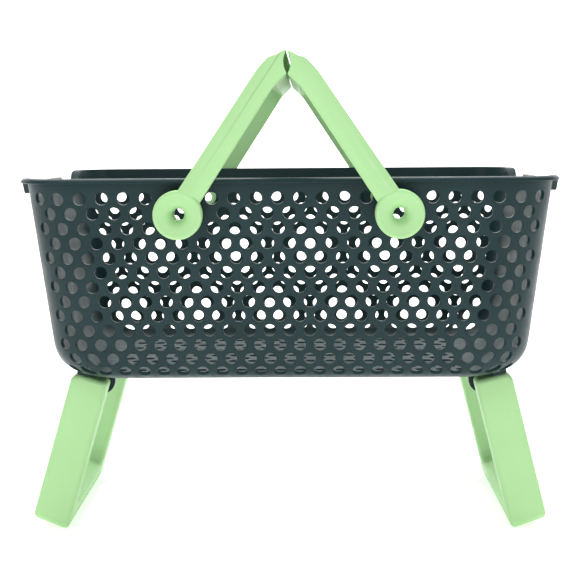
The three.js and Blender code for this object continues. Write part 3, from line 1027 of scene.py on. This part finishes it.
def make_leg(side):
    """One folding leg: posts and bar with soft edges, a shallow step under the bar, and pin holes."""
    length = LEG_LENGTHS[side]
    faces = LEG_INNER_FACE, LEG_INNER_FACE + LEG_WIDTH
    leg = extruded(f"{side}_folding_leg", leg_outline(length), ("y", "z"), *faces, [mint])
    depth = 2 * LEG_HALF_DEPTH
    profile = leg_side_outline(length)
    combine(leg, extruded("side", profile, ("x", "z"), -depth, depth, [mint]), "INTERSECT")
    merge_flat(leg)
    round_edges(leg, LEG_ROUNDING, 6, limited=False)
    pad = LEG_HALF_DEPTH - FOOT_LENGTH
    step = [(-pad, -length - 1), (pad, -length - 1), (pad - FOOT_STEP, FOOT_STEP - length)]
    step.append((FOOT_STEP - pad, FOOT_STEP - length))
    beyond = LEG_INNER_FACE - LEG_WIDTH, LEG_INNER_FACE + 2 * LEG_WIDTH
    combine(leg, extruded("step", step, ("y", "z"), *beyond, [mint]), "DIFFERENCE")
    for sign in SIDES:
        start = sign * (POST_INSIDE_Y - 2)
        end = sign * (POST_INSIDE_Y + PIN_DEPTH + 1)
        hole = PIN_RADIUS + RUNNING_GAP
        profile = [(0, start), (hole, start), (hole, end), (0, end)]
        combine(leg, turned("hole", profile, 0, 0, [mint], 40), "DIFFERENCE")
    shade(leg)
    for vertex in leg.data.vertices:
        share = (vertex.co.x / MM - LEG_INNER_FACE) / LEG_WIDTH
        if vertex.co.z < 0:
            vertex.co.z *= 1 - FOOT_SLANT * share
    place = Matrix.Translation((LEG_PIVOT_X * MM, 0, LEG_PIVOT_Z * MM))
    splay = Matrix.Rotation(-LEG_SPLAYS[side], 4, "Y")
    turn = Matrix.Rotation(math.pi if side == "left" else 0, 4, "Z")
    leg.data.transform(turn @ place @ splay)
    return leg


def make_pin(end, side):
    """A hinge pin with a domed head on the lug's inside."""
    head_outer = POST_INSIDE_Y - LUG_GAP - LUG_THICKNESS - RUNNING_GAP
    tip = POST_INSIDE_Y + PIN_DEPTH
    profile = [
        (0, tip),
        (PIN_RADIUS - 0.8, tip),
        (PIN_RADIUS, tip - 0.8),
        (PIN_RADIUS, head_outer),
        (PIN_HEAD_RADIUS, head_outer),
        (PIN_HEAD_RADIUS, head_outer - 0.8),
        (PIN_HEAD_RADIUS - 0.9, head_outer - 1.7),
        (PIN_HEAD_RADIUS - 2.6, head_outer - PIN_HEAD),
        (0, head_outer - PIN_HEAD),
    ]
    name = f"pin_{'left' if end < 0 else 'right'}_{'front' if side < 0 else 'rear'}"
    place = (end * LEG_PIVOT_X, LEG_PIVOT_Z)
    pin = turned(name, [(radius, side * y) for radius, y in profile], *place, [pin_plastic], 40)
    shade(pin, 30)
    return pin


def joined(base, others):
    """Adds other objects' meshes to base's, without cutting them."""
    build = bmesh.new()
    build.from_mesh(base.data)
    for other in others:
        build.from_mesh(other.data)
        bpy.data.objects.remove(other)
    build.to_mesh(base.data)
    build.free()
    return base


def build_basket():
    """Makes every piece and ties it to its body in the frame."""
    under_floor = [make(end, side) for end in ENDS for side in SIDES for make in (make_lug, make_stop)]
    tub = joined(make_tub(), under_floor)
    shade(tub, 34)
    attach(tub, "tub")
    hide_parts("tub")
    for side in ("left", "right"):
        for piece, body in ((make_handle(side), f"handle_{side}"), (make_leg(side), f"leg_{side}")):
            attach(piece, body)
            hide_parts(body)
    for end in ENDS:
        for side in SIDES:
            pin = make_pin(end, side)
            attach(pin, "tub")
            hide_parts("leg_" + pin.name)


# ---- Studio
CAMERA_PLACE = Vector((0.0194, -1.4087, 0.3955))
CAMERA_YAW = -0.0179
CAMERA_PITCH = 0.1149
CAMERA_ROLL = -0.0071
CAMERA_LENS = 83.166
SENSOR_WIDTH = 36
# the sweep's section: from its front edge to where it starts to rise, in a bend, to its top
SWEEP_HALF_WIDTH = 8.0
SWEEP_FRONT, SWEEP_BEND_START = -6.0, 3.0
SWEEP_BEND, SWEEP_TOP = 1.5, 6.0
SWEEP_STEPS = 12
SWEEP_TONE = (0.86, 0.86, 0.86, 1)
SWEEP_GLOW = 0.5  # keeps shadows on the pale floor faint
ROOM_BRIGHTNESS = 0.38
LIGHTS = [  # name, place, target, size and watts
    ("key", (-1.3, -2.2, 2.1), (0, 0, 0.25), (1.6, 1.6), 23),
    ("fill", (1.8, -2.0, 1.2), (0, 0, 0.25), (1.6, 1.6), 10),
    ("top", (0.0, 0.3, 2.6), (0, 0, 0.2), (2.2, 1.8), 32),
    ("backdrop", (0.0, 1.2, 3.2), (0, 3.6, 0.6), (5.0, 1.0), 260),
]


def make_camera():
    """The camera, from its place, its turns and its lens."""
    forward = Vector(
        (
            math.sin(CAMERA_YAW) * math.cos(CAMERA_PITCH),
            math.cos(CAMERA_YAW) * math.cos(CAMERA_PITCH),
            -math.sin(CAMERA_PITCH),
        )
    )
    level_right = Vector((math.cos(CAMERA_YAW), -math.sin(CAMERA_YAW), 0))
    level_up = level_right.cross(forward)
    right = level_right * math.cos(CAMERA_ROLL) + level_up * math.sin(CAMERA_ROLL)
    up = level_up * math.cos(CAMERA_ROLL) - level_right * math.sin(CAMERA_ROLL)
    camera = bpy.data.objects.new("camera", bpy.data.cameras.new("camera"))
    bpy.context.scene.collection.objects.link(camera)
    turn = Matrix((right, up, -forward)).transposed().to_4x4()
    camera.matrix_world = Matrix.Translation(CAMERA_PLACE) @ turn
    camera.data.sensor_width = SENSOR_WIDTH
    camera.data.lens = CAMERA_LENS
    bpy.context.scene.camera = camera


def make_light(name, place, target, size, power):
    """A soft rectangular light that faces a target."""
    light = bpy.data.lights.new(name, "AREA")
    light.shape = "RECTANGLE"
    light.size, light.size_y = size
    light.energy = power
    holder = bpy.data.objects.new(name, light)
    bpy.context.scene.collection.objects.link(holder)
    holder.location = place
    holder.rotation_euler = (Vector(target) - Vector(place)).to_track_quat("-Z", "Y").to_euler()


def make_stage():
    """A pale sweep that rises behind the basket, and a plain bright room."""
    centre = (SWEEP_BEND_START, SWEEP_BEND)
    turns = [math.radians(90 * i / SWEEP_STEPS) for i in range(1, SWEEP_STEPS + 1)]
    profile = [(SWEEP_FRONT, 0.0), (SWEEP_BEND_START, 0.0)]
    profile += [(centre[0] + centre[1] * math.sin(a), centre[1] * (1 - math.cos(a))) for a in turns]
    profile.append((SWEEP_BEND_START + SWEEP_BEND, SWEEP_TOP))
    points = [(side * SWEEP_HALF_WIDTH, y, z) for y, z in profile for side in (-1, 1)]
    faces = [(2 * i, 2 * i + 1, 2 * i + 3, 2 * i + 2) for i in range(len(profile) - 1)]
    mesh = bpy.data.meshes.new("sweep")
    mesh.from_pydata(points, [], faces)
    for polygon in mesh.polygons:
        polygon.use_smooth = True
    sweep = bpy.data.objects.new("sweep", mesh)
    bpy.context.scene.collection.objects.link(sweep)
    material = bpy.data.materials.new("sweep")
    material.use_nodes = True
    shader = material.node_tree.nodes["Principled BSDF"]
    shader.inputs["Base Color"].default_value = SWEEP_TONE
    shader.inputs["Roughness"].default_value = 0.9
    shader.inputs["Specular IOR Level"].default_value = 0.1
    shader.inputs["Emission Color"].default_value = (1, 1, 1, 1)
    shader.inputs["Emission Strength"].default_value = SWEEP_GLOW
    mesh.materials.append(material)

    world = bpy.data.worlds.new("room")
    world.use_nodes = True
    background = world.node_tree.nodes["Background"]
    background.inputs["Color"].default_value = (1, 1, 1, 1)
    background.inputs["Strength"].default_value = ROOM_BRIGHTNESS
    bpy.context.scene.world = world
    bpy.context.scene.view_settings.view_transform = "Standard"
    for light in LIGHTS:
        make_light(*light)


build_basket()
make_camera()
make_stage()
